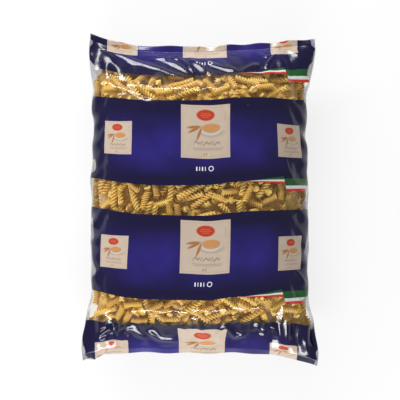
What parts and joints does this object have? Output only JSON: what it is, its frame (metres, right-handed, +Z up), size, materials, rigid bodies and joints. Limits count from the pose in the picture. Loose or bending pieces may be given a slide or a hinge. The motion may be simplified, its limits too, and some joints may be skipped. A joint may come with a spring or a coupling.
{
  "type": "pasta packet",
  "caption": "Large filled pillow packet of dry spiral pasta, lying on its back: printed film with clear windows, sealed at both ends, with pointed corners and gathered folds.",
  "frame": {"origin": "on the floor, under the middle of the packet's bounding box", "axes": "+Y along the packet's length towards its upper end seal, +X across it to the right of the printed front, +Z up out of the printed front"},
  "size_m": [0.3396, 0.478, 0.12],
  "materials": {
    "printed_film": "glossy printed plastic film, deep blue with clear windows"
  },
  "bodies": {
    "root": {"packet": "printed_film"}
  },
  "joints": []
}
